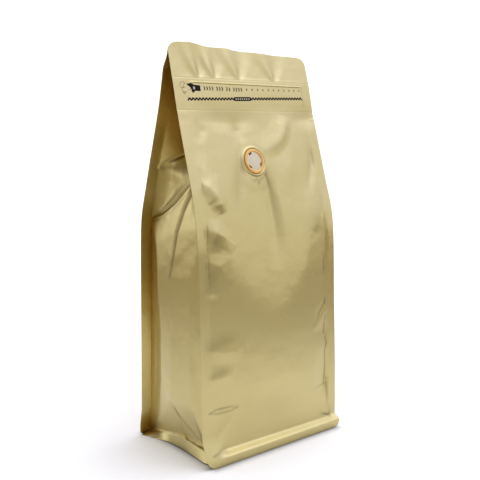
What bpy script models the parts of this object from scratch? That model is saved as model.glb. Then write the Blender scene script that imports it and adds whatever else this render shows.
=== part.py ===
# Flat-bottom coffee pouch, filled and shut: a film pouch with sealed edge fins, folded side
# gussets and a bottom skirt, a pull-tab zip strip across its front and a one-way gas valve.
# Lengths are in millimetres until a mesh is made. +Z is up, the front faces -Y.

import math

import bmesh
import bpy
import numpy as np
from mathutils import Matrix

MM = 0.001

# Pouch
WIDTH = 140.0  # over the edge fins
DEPTH = 84.0  # between the front and back panels, low down
HEIGHT = 316.0  # to the top edge's highest point
FIN_WIDTH = 9.5
FIN_THICKNESS = 0.8
LEAST_FIN = 1.0  # what a rounded corner leaves of a fin's width
TOP_CORNER = 8.0
FRONT_BOTTOM_CORNERS = (10.0, 6.0)  # left, right
BACK_BOTTOM_CORNERS = (3.0, 3.0)
HALF_WIDTH = WIDTH / 2
ROOT = HALF_WIDTH - FIN_WIDTH  # where a fin starts, from the centre line

# Skirt: the bottom seal, turned out all round
SKIRT_REACH = 47.4  # from the centre line to the skirt's outer face, front and back
SKIRT_START, SKIRT_RIDGE = 5.0, 12.0  # it slopes inwards between these heights
SKIRT_VALLEY = 13.0

FLAP_SHARES = (-1.0, -0.72, 0.35, 1.0)  # of the way from front to back along a side flap
FLAP_REACHES = (0.0, 3.0, 0.8, 8.6)  # out from the fins' roots, at the floor

# Front panel: upright low down, leaning back above the knee, steeper again below the band
LEAN = 0.295
BAND_LEAN = 0.223
BAND_START = 261.0
BAND_Y = -17.0  # the front's place at the band's lower edge
KNEE_ROUND = 5.0
BAND_ROUND = 1.0
BULGE = 4.0
BULGE_FULL = 60.0  # height at which the lower panel has its whole bulge
SHOULDER_APEX = 110.0  # lowest point of the leaning facet on the bulged lower panel
SHOULDER_LEAN = 0.05
SHOULDER_ROUND = 0.6

# Back panel
BACK_LOW = 46.0
BACK_DRIFT = 0.045
BACK_LEAN = 0.363
BACK_LEAN_Z, BACK_LEAN_Y = 210.0, 30.4
BACK_TOP_LEAN = 0.236
BACK_TOP_Z, BACK_TOP_Y = 270.0, 8.6
BACK_BULGE_RISE = (40.0, 70.0)
BACK_BULGE_FALL = (120.0, 230.0)
SHUT_START, SHUT_END = 296.0, 313.0  # where the back closes onto the front
TOP_THICKNESS = 2.0

# The upper half is turned a little about +Z: the right edge lies further back
TWIST = 1.9
TWIST_START, TWIST_END = 160.0, 192.0

# Top edge, lower to the right
TOP_EDGE_X = (-50.0, -18.0, 8.0, 30.0, 65.0)
TOP_EDGE_Z = (316.0, 314.2, 312.2, 311.6, 310.8)
TILT_START = 290.0
FLUTES = (-45.0, -30.0, -8.0, 30.0)
FLUTE_START, FLUTE_HEIGHT = 288.0, 2.6
FLUTE_WIDTHS = (2.5, 8.5)  # at the band and at the top edge

# Zip strip and its band
BAND_LOW, BAND_HIGH = 265.6, 288.5
STRIP_WIDTH, STRIP_HEIGHT, STRIP_THICKNESS = 118.0, 20.5, 0.6
STRIP_CENTRE_X = 2.2
STRIP_EDGE = 0.2
BAND_FLAT = 11.5  # the film is flat this far above and below the band's middle
FLAT_FADE = 3.5
GAP = 0.3  # between touching pieces

# Gas valve
VALVE_X, VALVE_Z = -5.6, 226.7
VALVE_FLAT = 15.0  # radius of the flat seat in the panel
SEAT_FADE = 8.0
RING_RADIUS, RING_BORE, RING_HEIGHT = 10.2, 7.4, 1.5
RING_EDGE = 0.35
CAP_RADIUS, CAP_HEIGHT, CAP_DOME = 7.0, 0.7, 0.3
SLOT_RADIUS, SLOT_LENGTH, SLOT_WIDTH = 5.1, 2.8, 1.0
SLOT_DEPTH = 0.3
SLOT_ANGLES = (104.0, 222.0, 338.0)

# Fold lines of a side gusset. Each point has its share of the way from front (-1) to back (1),
# its height and how far it lies inside the fins' roots (outside them if negative).
FOLDS = {
    "front_foot": (-1.0, SKIRT_VALLEY, 0.0),
    "front_toe": (-0.62, SKIRT_VALLEY, 0.0),
    "middle_foot": (0.0, SKIRT_VALLEY, 2.5),
    "back_foot": (1.0, SKIRT_VALLEY, 0.0),
    "front_heel": (-0.25, 28.0, -5.0),
    "low_apex": (0.0, 39.0, -7.0),
    "front_low": (-0.55, 42.0, -4.5),
    "back_low": (0.5, 38.0, -5.0),
    "apex": (0.0, 134.0, -7.0),
    "front_high": (-0.5, 148.0, -4.5),
    "back_high": (0.43, 148.0, -5.0),
    "front_knee": (-1.0, 178.0, 0.0),
    "back_knee": (1.0, 181.0, 0.0),
    "pocket": (0.0, 214.0, 12.0),
    "front_tip": (-1.0, 222.0, 0.0),
    "back_tip": (1.0, 223.5, 0.0),
    "fold_low": (0.0, 247.0, 33.0),
    "fold_high": (0.0, 292.0, 38.0),
    "front_top": (-1.0, HEIGHT, 0.0),
    "middle_top": (0.0, HEIGHT, 0.4),
    "back_top": (1.0, HEIGHT, 0.0),
}
FOLD_FACES = (
    ("front_foot", "front_toe", "front_low"),
    ("front_toe", "front_heel", "front_low"),
    ("front_toe", "middle_foot", "front_heel"),
    ("middle_foot", "low_apex", "front_heel"),
    ("front_heel", "low_apex", "front_low"),
    ("middle_foot", "back_foot", "low_apex"),
    ("back_foot", "back_low", "low_apex"),
    ("front_low", "low_apex", "apex"),
    ("front_low", "apex", "front_high"),
    ("low_apex", "back_low", "apex"),
    ("back_low", "back_high", "apex"),
    ("front_foot", "front_low", "front_knee"),
    ("front_low", "front_high", "front_knee"),
    ("back_foot", "back_knee", "back_low"),
    ("back_low", "back_knee", "back_high"),
    ("front_high", "apex", "pocket"),
    ("front_high", "pocket", "front_knee"),
    ("back_high", "pocket", "apex"),
    ("back_high", "back_knee", "pocket"),
    ("front_knee", "pocket", "front_tip"),
    ("back_knee", "back_tip", "pocket"),
    ("front_tip", "pocket", "fold_low"),
    ("back_tip", "fold_low", "pocket"),
    ("front_tip", "fold_low", "fold_high"),
    ("back_tip", "fold_high", "fold_low"),
    ("front_tip", "fold_high", "front_top"),
    ("back_tip", "back_top", "fold_high"),
    ("front_top", "fold_high", "middle_top"),
    ("back_top", "middle_top", "fold_high"),
)

# Dents in the front film: centre x and z, half width, half height, depth (a ridge if negative)
DENTS = (
    (-50.0, 203.0, 10.0, 8.0, 1.2),
    (-48.0, 176.0, 12.0, 12.0, 1.6),
    (-50.0, 150.0, 9.0, 11.0, 1.2),
    (-46.0, 98.0, 17.0, 9.0, 1.8),
    (-47.0, 68.0, 13.0, 7.0, 1.2),
    (-48.0, 41.5, 15.0, 3.0, -1.0),
    (56.0, 150.0, 7.0, 16.0, 1.0),
    (56.0, 96.0, 7.0, 9.0, -1.0),
    (20.0, 190.0, 9.0, 40.0, 1.3),
    (14.0, 244.0, 10.0, 14.0, 1.2),
    (-24.0, 256.0, 16.0, 7.0, 0.9),
)

# Loft
PANEL_COLUMNS = 27
GUSSET_COLUMNS = 17
LOW_LEVELS = (0.0, 0.8, 2.2, 4.5, 7.0, 9.0, 11.0, SKIRT_VALLEY, 16.0, 20.0)
EVEN_LEVELS = 42
HIGH_LEVELS = (298.0, 303.0, 307.0, 310.0, 312.5, 314.5, 315.5, HEIGHT)
RING_STEPS = 48


def ramp(value, start, end):
    """0 before start, 1 after end, a smooth step between."""
    share = np.clip((value - start) / (end - start), 0.0, 1.0)
    return share * share * (3 - 2 * share)


def larger(a, b, rounding):
    """The larger of two values, with the corner between them rounded."""
    return 0.5 * (a + b + np.sqrt((a - b) ** 2 + rounding**2))


def smaller(a, b, rounding):
    return -larger(-a, -b, rounding)


def band_plane(z):
    """Y of the plane that the zip band lies in."""
    return BAND_Y + (z - BAND_START) * BAND_LEAN


def front_profile(z, low=-DEPTH / 2):
    """Y of the front film before its small forms: upright at low, then leaning back."""
    lean = BAND_Y - (BAND_START - z) * LEAN
    return larger(low, smaller(lean, band_plane(z), BAND_ROUND), KNEE_ROUND)


def back_profile(z):
    low = BACK_LOW - z * BACK_DRIFT
    lean = BACK_LEAN_Y - (z - BACK_LEAN_Z) * BACK_LEAN
    top = BACK_TOP_Y - (z - BACK_TOP_Z) * BACK_TOP_LEAN
    open_back = smaller(low, larger(lean, top, BAND_ROUND), KNEE_ROUND)
    shut_back = front_profile(z) + TOP_THICKNESS
    return open_back + (shut_back - open_back) * ramp(z, SHUT_START, SHUT_END)


def twist(x, z):
    return TWIST * x / HALF_WIDTH * ramp(z, TWIST_START, TWIST_END)


def skirt(z):
    """How far the front and back panels turn out to the skirt's face."""
    return 1 - ramp(z, SKIRT_START, SKIRT_RIDGE)


def inner(x):
    """1 in the middle of a panel, 0 at the fins."""
    return np.clip(1 - (x / ROOT) ** 2, 0.0, 1.0)


def flutes(x, z):
    """Puckers that widen from the band up to the top edge."""
    rise = ramp(z, FLUTE_START, HEIGHT)
    width = FLUTE_WIDTHS[0] + (FLUTE_WIDTHS[1] - FLUTE_WIDTHS[0]) * rise
    return FLUTE_HEIGHT * rise * sum(np.exp(-(((x - at) / width) ** 2)) for at in FLUTES)


def dents(x, z):
    depth = 0.0 * x
    for at_x, at_z, half_width, half_height, deep in DENTS:
        away = ((x - at_x) / half_width) ** 2 + ((z - at_z) / half_height) ** 2
        depth = depth + deep * np.exp(-2 * away)
    return depth


def valve_seat(x, z):
    """The flat plane that the valve sits on."""
    return front_profile(VALVE_Z) + (z - VALVE_Z) * LEAN + twist(x, z)


def front(x, z):
    """Y of the front film."""
    lower = -DEPTH / 2 - BULGE * inner(x) * ramp(z, SKIRT_VALLEY, BULGE_FULL)
    shoulder = -DEPTH / 2 - BULGE + (z - SHOULDER_APEX) * SHOULDER_LEAN
    panel = front_profile(z, larger(lower, shoulder, SHOULDER_ROUND))
    panel = panel + dents(x, z) * ramp(inner(x), 0.0, 0.3)
    y = np.where(np.abs(x) < ROOT, panel, front_profile(z)) + twist(x, z) - flutes(x, z)
    off_seat = ramp(np.hypot(x - VALVE_X, z - VALVE_Z), VALVE_FLAT, VALVE_FLAT + SEAT_FADE)
    y = valve_seat(x, z) + (y - valve_seat(x, z)) * off_seat
    middle = (BAND_LOW + BAND_HIGH) / 2
    off_band = ramp(np.abs(z - middle), BAND_FLAT, BAND_FLAT + FLAT_FADE)
    band = band_plane(z) + twist(x, z)
    y = band + (y - band) * off_band
    return y + (-SKIRT_REACH - y) * skirt(z)


def back(x, z):
    """Y of the back film."""
    bulge = BULGE * inner(x) * ramp(z, *BACK_BULGE_RISE) * (1 - ramp(z, *BACK_BULGE_FALL))
    y = back_profile(z) + bulge + twist(x, z) - flutes(x, z)
    return y + (SKIRT_REACH - y) * skirt(z)


def fold_depth(share, z):
    """Inward depth of the gusset film, read off the triangles between its fold lines."""
    depth = np.zeros_like(share)
    for names in FOLD_FACES:
        (x0, z0, d0), (x1, z1, d1), (x2, z2, d2) = (FOLDS[name] for name in names)
        area = (x1 - x0) * (z2 - z0) - (x2 - x0) * (z1 - z0)
        b = ((share - x0) * (z2 - z0) - (x2 - x0) * (z - z0)) / area
        c = ((x1 - x0) * (z - z0) - (share - x0) * (z1 - z0)) / area
        inside = (b >= -1e-9) & (c >= -1e-9) & (b + c <= 1 + 1e-9)
        depth = np.where(inside, d0 + b * (d1 - d0) + c * (d2 - d0), depth)
    return depth


def flap(share):
    """How far the side flap reaches out at the floor, with a kink behind its middle."""
    return np.interp(share, FLAP_SHARES, FLAP_REACHES)


def gusset(share, z):
    """Inward depth of the side film from the fins' roots, flap and folds together."""
    high = np.maximum(z, SKIRT_VALLEY)
    return fold_depth(share, high) - (flap(share) + fold_depth(share, high)) * skirt(z)


def reach(z, corner):
    """Half width of a panel at this height, with its rounded corners."""
    low = corner - np.sqrt(np.maximum(corner**2 - np.maximum(corner - z, 0) ** 2, 0))
    over = np.maximum(z - (HEIGHT - TOP_CORNER), 0)
    high = TOP_CORNER - np.sqrt(np.maximum(TOP_CORNER**2 - over**2, 0))
    return HALF_WIDTH - low - high


def panel_row(side, z, corners):
    """Points across a panel from left fin edge to right fin edge."""
    left, right = (reach(z, corner) for corner in corners)
    ends = (-min(ROOT, left - LEAST_FIN), min(ROOT, right - LEAST_FIN))
    across = np.linspace(*ends, PANEL_COLUMNS)
    x = np.concatenate(([-left], across, [right]))
    return np.column_stack((x, side(x, np.full_like(x, z))))


def fin_back(row, inward):
    """The inner face of a fin pair, from each edge to its root, as (left, right)."""
    left, right = row[:2].copy(), row[-2:].copy()
    left[:, 1] += inward
    right[:, 1] += inward
    return left, right[::-1]


def gusset_row(front_root, back_root, z):
    """Points of a side film between its two fin roots, front to back."""
    share = np.linspace(-1, 1, GUSSET_COLUMNS)
    line = np.linspace(front_root, back_root, GUSSET_COLUMNS)
    depth = gusset(share, np.full_like(share, z))
    line[:, 0] -= np.sign(front_root[0]) * depth
    return line[1:-1]


def section(z):
    """The pouch's outline at one height, counterclockwise from its front left edge."""
    front_row = panel_row(front, z, FRONT_BOTTOM_CORNERS)
    back_row = panel_row(back, z, BACK_BOTTOM_CORNERS)
    front_left, front_right = fin_back(front_row, FIN_THICKNESS)
    back_left, back_right = fin_back(back_row, -FIN_THICKNESS)
    right = gusset_row(front_right[1], back_right[1], z)
    left = gusset_row(front_left[1], back_left[1], z)
    pieces = (front_row, front_right, right, back_right[::-1], back_row[::-1])
    pieces += (back_left, left[::-1], front_left[::-1])
    flat = np.concatenate(pieces)
    top = np.interp(flat[:, 0], TOP_EDGE_X, TOP_EDGE_Z)
    tilt = (top - TILT_START) / (HEIGHT - TILT_START)
    height = z if z <= TILT_START else TILT_START + (z - TILT_START) * tilt
    return np.column_stack((flat, np.broadcast_to(height, len(flat))))


def clear_scene():
    for old in list(bpy.data.objects):
        bpy.data.objects.remove(old, do_unlink=True)


def collection(name):
    made = bpy.data.collections.new(name)
    bpy.context.scene.collection.children.link(made)
    return made


def material(name, colour, roughness, metallic):
    made = bpy.data.materials.new(name)
    made.use_nodes = True
    shader = made.node_tree.nodes["Principled BSDF"]
    shader.inputs["Base Color"].default_value = (*colour, 1.0)
    shader.inputs["Roughness"].default_value = roughness
    shader.inputs["Metallic"].default_value = metallic
    return made


def add_object(name, mesh, finish, home):
    made = bpy.data.objects.new(name, mesh)
    home.objects.link(made)
    if finish:
        mesh.materials.append(finish)
    return made


def cap_top(bm, ring):
    """Closes the top edge with short faces between front and back, so that it keeps its waves."""
    columns = PANEL_COLUMNS + 2
    last = len(ring) - 1
    back_right = columns + GUSSET_COLUMNS + 2  # where the back row starts, at its right edge
    back_left = back_right + columns - 1
    pieces = [(i, i + 1, back_left - i - 1, back_left - i) for i in range(2, columns - 3)]
    pieces.append((columns - 2, columns - 1, columns, columns + 1))
    pieces.append((back_right - 2, back_right - 1, back_right, back_right + 1))
    pieces.append((back_left - 1, back_left, back_left + 1, back_left + 2))
    pieces.append((0, 1, last - 1, last))
    right_side = range(columns + 1, back_right - 1)
    left_side = range(back_left + 2, last)
    pieces.append((columns - 3, columns - 2, *right_side, back_right + 1, back_right + 2))
    pieces.append((back_left - 2, back_left - 1, *left_side, 1, 2))
    return [bm.faces.new([ring[i] for i in piece]) for piece in pieces]


def add_pouch(home):
    levels = np.concatenate((LOW_LEVELS, np.linspace(26.0, 293.0, EVEN_LEVELS), HIGH_LEVELS))
    sections = [section(z) * MM for z in levels]
    bm = bmesh.new()
    rings = [[bm.verts.new(point) for point in ring] for ring in sections]
    for low, high in zip(rings, rings[1:]):
        for i in range(len(low)):
            j = (i + 1) % len(low)
            bm.faces.new((low[i], low[j], high[j], high[i]))
    caps = [bm.faces.new(rings[0][::-1]), *cap_top(bm, rings[-1])]
    bmesh.ops.triangulate(bm, faces=caps, ngon_method="EAR_CLIP")
    mesh = bpy.data.meshes.new("pouch")
    bm.to_mesh(mesh)
    bm.free()
    mesh.shade_smooth()
    mesh.set_sharp_from_angle(angle=math.radians(40))
    film = material("film", (0.62, 0.52, 0.30), 0.38, 0.9)
    return add_object("pouch", mesh, film, home)


def seat_on_front(x, z, slope, lift):
    """A frame on the front film with its own +Z pointing out of the pouch."""
    lean = math.atan(slope)
    yaw = math.atan(TWIST / HALF_WIDTH)
    outward = Matrix.Rotation(yaw, 4, "Z") @ Matrix.Rotation(math.pi / 2 - lean, 4, "X")
    y = float(front(np.array([x]), np.array([z]))[0])
    place = Matrix.Translation((x * MM, y * MM, z * MM))
    return place @ outward @ Matrix.Translation((0, 0, lift * MM))


def add_tear_strip(home):
    bm = bmesh.new()
    bmesh.ops.create_cube(bm, size=1.0)
    size = (STRIP_WIDTH * MM, STRIP_HEIGHT * MM, STRIP_THICKNESS * MM)
    bmesh.ops.scale(bm, vec=size, verts=bm.verts)
    mesh = bpy.data.meshes.new("tear_strip")
    bm.to_mesh(mesh)
    bm.free()
    finish = material("printed_film", (0.60, 0.50, 0.29), 0.42, 0.85)
    strip = add_object("tear_strip", mesh, finish, home)
    rounded = strip.modifiers.new("rounded_edges", "BEVEL")
    rounded.width = STRIP_EDGE * MM
    rounded.segments = 2
    middle = (BAND_LOW + BAND_HIGH) / 2
    lift = GAP + STRIP_THICKNESS / 2
    strip.matrix_world = seat_on_front(STRIP_CENTRE_X, middle, BAND_LEAN, lift)
    return strip


def turned(name, profile, finish, home):
    """A closed or axis-to-axis profile (radius, height) turned about its own +Z."""
    mesh = bpy.data.meshes.new(name)
    points = [(radius * MM, 0.0, height * MM) for radius, height in profile]
    closed = profile[0][0] > 0
    edges = [(i, i + 1) for i in range(len(points) - 1)]
    if closed:
        edges.append((len(points) - 1, 0))
    mesh.from_pydata(points, edges, [])
    made = add_object(name, mesh, finish, home)
    screw = made.modifiers.new("turn", "SCREW")
    screw.steps = RING_STEPS
    screw.render_steps = RING_STEPS
    screw.use_merge_vertices = True
    screw.merge_threshold = 0.01 * MM
    screw.use_smooth_shade = True
    return made


def add_valve_ring(home):
    low, high = RING_HEIGHT - 2 * RING_EDGE, RING_HEIGHT - 0.6 * RING_EDGE
    profile = (
        (RING_RADIUS - 2 * RING_EDGE, RING_HEIGHT),
        (RING_RADIUS - 0.6 * RING_EDGE, high),
        (RING_RADIUS, low),
        (RING_RADIUS, 0.0),
        (RING_BORE, 0.0),
        (RING_BORE, low),
        (RING_BORE + 0.6 * RING_EDGE, high),
        (RING_BORE + 2 * RING_EDGE, RING_HEIGHT),
    )
    return turned("valve_ring", profile, material("amber_ring", (0.80, 0.48, 0.16), 0.3, 0.2), home)


def add_slot_cutters(home, cap):
    """Three cutters on the cap's own axis, for the slots that let gas out."""
    for i, angle in enumerate(SLOT_ANGLES):
        bm = bmesh.new()
        bmesh.ops.create_cube(bm, size=1.0)
        size = (SLOT_WIDTH * MM, SLOT_LENGTH * MM, CAP_HEIGHT * MM)
        bmesh.ops.scale(bm, vec=size, verts=bm.verts)
        mesh = bpy.data.meshes.new(f"slot_cutter_{i}")
        bm.to_mesh(mesh)
        bm.free()
        cutter = add_object(f"slot_cutter_{i}", mesh, None, home)
        cutter.parent = cap
        out = math.radians(angle)
        cutter.location = (
            SLOT_RADIUS * math.cos(out) * MM,
            SLOT_RADIUS * math.sin(out) * MM,
            (1.5 * CAP_HEIGHT - SLOT_DEPTH) * MM,
        )
        cutter.rotation_euler = (0, 0, out)
        cutter.hide_render = True
        cutter.display_type = "WIRE"
        cut = cap.modifiers.new(f"slot_{i}", "BOOLEAN")
        cut.operation = "DIFFERENCE"
        cut.solver = "EXACT"
        cut.object = cutter


def add_valve_cap(home, cutters):
    profile = (
        (0.0, CAP_HEIGHT + CAP_DOME),
        (CAP_RADIUS * 0.4, CAP_HEIGHT + 0.85 * CAP_DOME),
        (CAP_RADIUS * 0.75, CAP_HEIGHT + 0.4 * CAP_DOME),
        (CAP_RADIUS, CAP_HEIGHT),
        (CAP_RADIUS, 0.0),
        (0.0, 0.0),
    )
    cap = turned("valve_cap", profile, material("cap", (0.62, 0.55, 0.38), 0.45, 0.1), home)
    add_slot_cutters(cutters, cap)
    return cap


def main():
    clear_scene()
    home = collection("flat_bottom_pouch")
    cutters = collection("cutters")
    add_pouch(home)
    add_tear_strip(home)
    valve = bpy.data.objects.new("valve_seat", None)
    home.objects.link(valve)
    valve.matrix_world = seat_on_front(VALVE_X, VALVE_Z, LEAN, GAP)
    for piece in (add_valve_ring(home), add_valve_cap(home, cutters)):
        piece.parent = valve


main()
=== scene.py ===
import math

import bpy
import numpy as np
from mathutils import Matrix, Vector
from mathutils.geometry import delaunay_2d_cdt


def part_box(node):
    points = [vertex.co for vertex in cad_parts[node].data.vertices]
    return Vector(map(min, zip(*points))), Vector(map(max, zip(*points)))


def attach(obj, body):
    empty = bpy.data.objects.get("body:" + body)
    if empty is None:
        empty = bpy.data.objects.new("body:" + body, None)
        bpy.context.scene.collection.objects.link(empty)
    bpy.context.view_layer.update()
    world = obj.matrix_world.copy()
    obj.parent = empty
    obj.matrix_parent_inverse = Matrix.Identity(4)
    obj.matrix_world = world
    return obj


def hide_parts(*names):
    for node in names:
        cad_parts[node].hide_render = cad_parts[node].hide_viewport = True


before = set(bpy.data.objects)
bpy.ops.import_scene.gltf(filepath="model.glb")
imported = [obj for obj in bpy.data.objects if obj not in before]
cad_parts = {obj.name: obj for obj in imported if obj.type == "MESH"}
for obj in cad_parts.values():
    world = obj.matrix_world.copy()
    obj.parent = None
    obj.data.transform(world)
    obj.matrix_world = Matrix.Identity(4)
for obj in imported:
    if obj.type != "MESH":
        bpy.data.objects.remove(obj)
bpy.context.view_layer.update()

mm = 0.001
pouchHigh = [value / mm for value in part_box("pouch")[1]]
halfWidth, skirtReach, topHeight = pouchHigh
print("frame loaded, pouch", [round(value, 1) for value in pouchHigh])


# small helpers
def linearColour(hexCode):
    # sRGB hex to the linear values that shaders take
    parts = [int(hexCode[i:i + 2], 16) / 255 for i in (1, 3, 5)]
    return [c / 12.92 if c <= 0.04045 else ((c + 0.055) / 1.055) ** 2.4 for c in parts] + [1]


def ramp(value, start, end):
    # 0 before start, 1 after end, a smooth step between
    share = np.clip((value - start) / (end - start), 0, 1)
    return share * share * (3 - 2 * share)


def larger(a, b, rounding):
    return 0.5 * (a + b + np.sqrt((a - b) ** 2 + rounding ** 2))


def smaller(a, b, rounding):
    return -larger(-a, -b, rounding)


def addNode(tree, kind, settings=None, values=None, links=None):
    node = tree.nodes.new("ShaderNode" + kind)
    for name, value in (settings or {}).items():
        setattr(node, name, value)
    for socket, value in (values or {}).items():
        node.inputs[socket].default_value = value
    for socket, source in (links or {}).items():
        tree.links.new(source, node.inputs[socket])
    return node


def setStops(node, wanted):
    # a colour ramp's stops from (place, colour)
    stops = node.color_ramp.elements
    while len(stops) < len(wanted):
        stops.new(0.5)
    for stop, (place, colour) in zip(stops, wanted):
        stop.position, stop.color = place, colour


def newMaterial(name):
    material = bpy.data.materials.new(name)
    material.use_nodes = True
    material.node_tree.nodes.clear()
    return material, material.node_tree


def patternScale(sizeMm):
    # noise scale that gives features of this size, on coordinates in metres
    return 1 / (sizeMm * mm)


def quadFaces(rows, columns, closed=False, ring=False):
    # faces between rows of points; closed joins each row's ends, ring joins the last row to the first
    index = np.arange(rows * columns).reshape(rows, columns)
    if ring:
        index = np.vstack((index, index[:1]))
    if closed:
        index = np.column_stack((index, index[:, :1]))
    corners = (index[:-1, :-1], index[:-1, 1:], index[1:, 1:], index[1:, :-1])
    return np.stack(corners, axis=-1).reshape(-1, 4).tolist()


def meshObject(name, points, faces, material, sharpAngle=35):
    mesh = bpy.data.meshes.new(name)
    mesh.from_pydata([tuple(p) for p in np.asarray(points) * mm], [], faces)
    mesh.validate()
    mesh.shade_smooth()
    mesh.set_sharp_from_angle(angle=math.radians(sharpAngle))
    piece = bpy.data.objects.new(name, mesh)
    bpy.context.scene.collection.objects.link(piece)
    mesh.materials.append(material)
    return piece


# film shape, in millimetres: x to the right, z up, y away from the front
film = {
    "depth": 84,
    "finWidth": 9.5,
    "finThickness": 0.5,
    "rightWaist": (1.6, 40, 130, 165, 200),  # right fins: narrower by, from, fully, until, to
    "topCorner": 8,
    "frontCorners": (10, 6),
    "backCorners": (3, 3),
    "leastFin": 1,
    "rearFinTurn": (0.76, 0.3),  # what stays of their width, and how far they bend back
    "rearFinLevels": ((1, 4, 22), (-0.7, 70, 165), (0.45, 182, 205)),  # change of the turn, from, to
    "skirtRise": (6.3, 9.9),
    "skirtSoft": (-0.6, -0.3, 0, 0.3, 0.6),
    "finFoot": (4, 24),
    "finBlend": (-14, 1.5),
    "lean": 0.295,
    "bandLean": 0.223,
    "bandStart": 261,
    "bandY": -17,
    "kneeRound": 5,
    "bulge": 5,
    "bulgeRise": (12, 60),
    "waist": 78,
    "waistLean": 0.02,
    "shoulderApex": 105,
    "shoulderLean": 0.12,
    "shoulderSpread": 0.5,
    "shoulderLeft": (20, 38, 50),  # higher by, from, to
    "shoulderRight": (34, 30, 59),
    "shoulderMiddle": 8,
    "shoulderRound": 1,
    "backLow": 46,
    "backDrift": 0.045,
    "backLean": 0.363,
    "backLeanAt": (210, 30.4),  # height, y
    "backTopLean": 0.236,
    "backTopAt": (270, 8.6),
    "topThickness": 1.2,
    "shutRise": (296, 314),
    "edgeRound": 1,
    "backBulge": (40, 70, 120, 230),  # from, fully, until, to
    "twist": 1.9,
    "twistRise": (172, 212),
    "carryRise": (270, 295),
    # x and height along the wavy top edge
    "topEdge": ((-66, 315), (-50, 315.7), (-44, 315.2), (-35, 313.4), (-15, 313.5),
                (-5, 311.8), (10, 312), (30, 311.3), (65, 310.8)),
    "tiltStart": 290,
    # waves above the band: place at the band and at the top edge, height, width at the band and at the top
    "flutes": ((-46, -49, 1.2, 1.6, 7.5), (-30.3, -33, 1.1, 1.5, 7.5), (-6, -9, 1.1, 1.6, 8.5),
               (31.3, 28, 1.1, 1.6, 8.5)),
    "fluteStart": 288.8,
    "fluteGrowth": 7,
    "bandEdges": (265.6, 288.5),
    "bandFlat": (11.5, 15),
    "welds": (265.4, 289.2),
    "weldDeep": 0.1,
    "weldWide": 0.6,
    "valveFoot": 0.2,
    "valveFlat": (12.5, 26),
    "valveFolds": (11, 16),
    "seamMask": 1.5,
    "lapDrop": (-0.4, 1.6),
}
root = halfWidth - film["finWidth"]
frontPlane = -film["depth"] / 2
# the valve leans back with the film, so its foot is a little lower than its middle
valveMiddle = [(first + last) / 2 / mm for first, last in zip(*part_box("valve_ring"))]
valveAt = (round(valveMiddle[0], 1), round(valveMiddle[2] - film["valveFoot"], 1))


def fold(path, depth, above, below, soft, bend=1.6, lap=False):
    # a fold of the film: its path, its depth along that, its width above and below, how round its crest is,
    # how hollow its sides are, and whether it drops straight behind its path as an overlapping edge does.
    # Above is the side on the left of the path's direction, and a ridge has a negative depth.
    return dict(path=path, depth=depth, above=above, below=below, soft=soft, bend=bend, lap=lap)


# folds of the front, by x and height in millimetres
frontFolds = [
    # puckers along the left seam
    fold(((-62, 226), (-54, 222), (-46, 221)), (-0.2, -0.7, 0), 12, 7, 3),
    fold(((-62, 213), (-53, 208.5), (-47, 201), (-44, 189)), (-0.3, -1.9, -2.5, -2, 0),
         (12, 12, 10, 8, 6), (6, 8, 10, 9, 6), 1.2, bend=1.1),
    fold(((-62, 180), (-53, 176.5), (-44, 171.5)), (-0.7, -1.9, -0.9), (8, 9, 7), (10, 16, 12),
         0.8, bend=1.1),
    fold(((-62, 156), (-51, 151), (-46, 141)), (-0.5, -1.1, -0.6), (13, 12, 7), (22, 18, 9), 0.5, bend=1.1),
    fold(((-62, 131), (-52, 132.5)), (0.6, 0.4, 0), 9, 5, 0.6),
    fold(((-62, 89), (-50, 86.5), (-40, 86), (-31, 90)), (-0.5, -0.75, -0.7, 0), 16, 9, 0.2, bend=1.05),
    fold(((-62, 67), (-51, 66.5), (-41, 70)), (-0.6, -0.8, 0), 10, 9, 0.2, bend=1.05),
    fold(((-50, 10.5), (20, 10.5), (60, 10.5)), (0, -0.45, -0.8), 13, 1, 0.4, bend=1.1),
    fold(((-63.5, 42), (-50, 44.4), (-36, 41.4)), (0.2, 0.45, 0.2), 1.8, 1.8, 0.3),
    fold(((-63.5, 41.4), (-50, 39.4), (-36, 40.8)), (0.2, 0.45, 0.2), 1.8, 1.8, 0.3),
    fold(((-62.5, 10.5), (-46, 31), (-36, 40), (-31, 57)), (0.7, 0.9, 0.6, 0), 9, 8, 0.8),
    # slack round the valve
    fold(((36.5, 262), (34.5, 254), (31, 247), (26, 242), (19.5, 238), (12, 235.5), (5, 234)),
         (0, -1.2, -1.6, -1.6, -1.3, -0.9, -0.3), 6, 14, 1.5, bend=1.2),
    fold(((-57, 259), (-51.5, 250), (-57, 241)), (0, 0.7, 0), 6, 6, 2),
    fold(((-17, 261), (-16, 250), (-13, 240)), (0, 1, 0), 7, 9, 2),
    fold(((-15, 234), (-20, 222), (-26, 204), (-29, 186)), (0.6, 1.3, 1, 0), 9, 8, 1.5),
    fold(((4, 218), (5.5, 207), (7, 182), (7, 142)), (1, 2.6, 1.9, 0), (7, 9, 11), 11, 1, bend=1.2),
    fold(((45, 262), (38, 240), (30, 218), (20, 200)), (0, -1, -1.2, 0), 16, 14, 4),
    # puckers along the right seam
    fold(((61, 246), (57, 224), (49, 206), (44, 198)), (0, 1.2, 1.2, 0), 6, 9, 2.5),
    fold(((62, 193), (54, 184), (47, 168)), (-0.4, -1.2, 0), 12, 9, 1),
    fold(((57, 108), (51, 102), (45.5, 94)), (0.3, 0.4, 0.2), 4, 6, 0.8),
    fold(((60.5, 101), (60.5, 84), (60.5, 77), (60.5, 60), (60.5, 41)), (0, 1.5, 0.7, 1.5, 1.3), 2,
         (8, 18, 12, 17, 16), 0.25, bend=1.1),
    fold(((60.5, 41), (60.5, 30), (60.8, 11)), (1, 0.9, 0.5), 2, (13, 10, 4), 0.25, bend=1.1),
]
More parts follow.
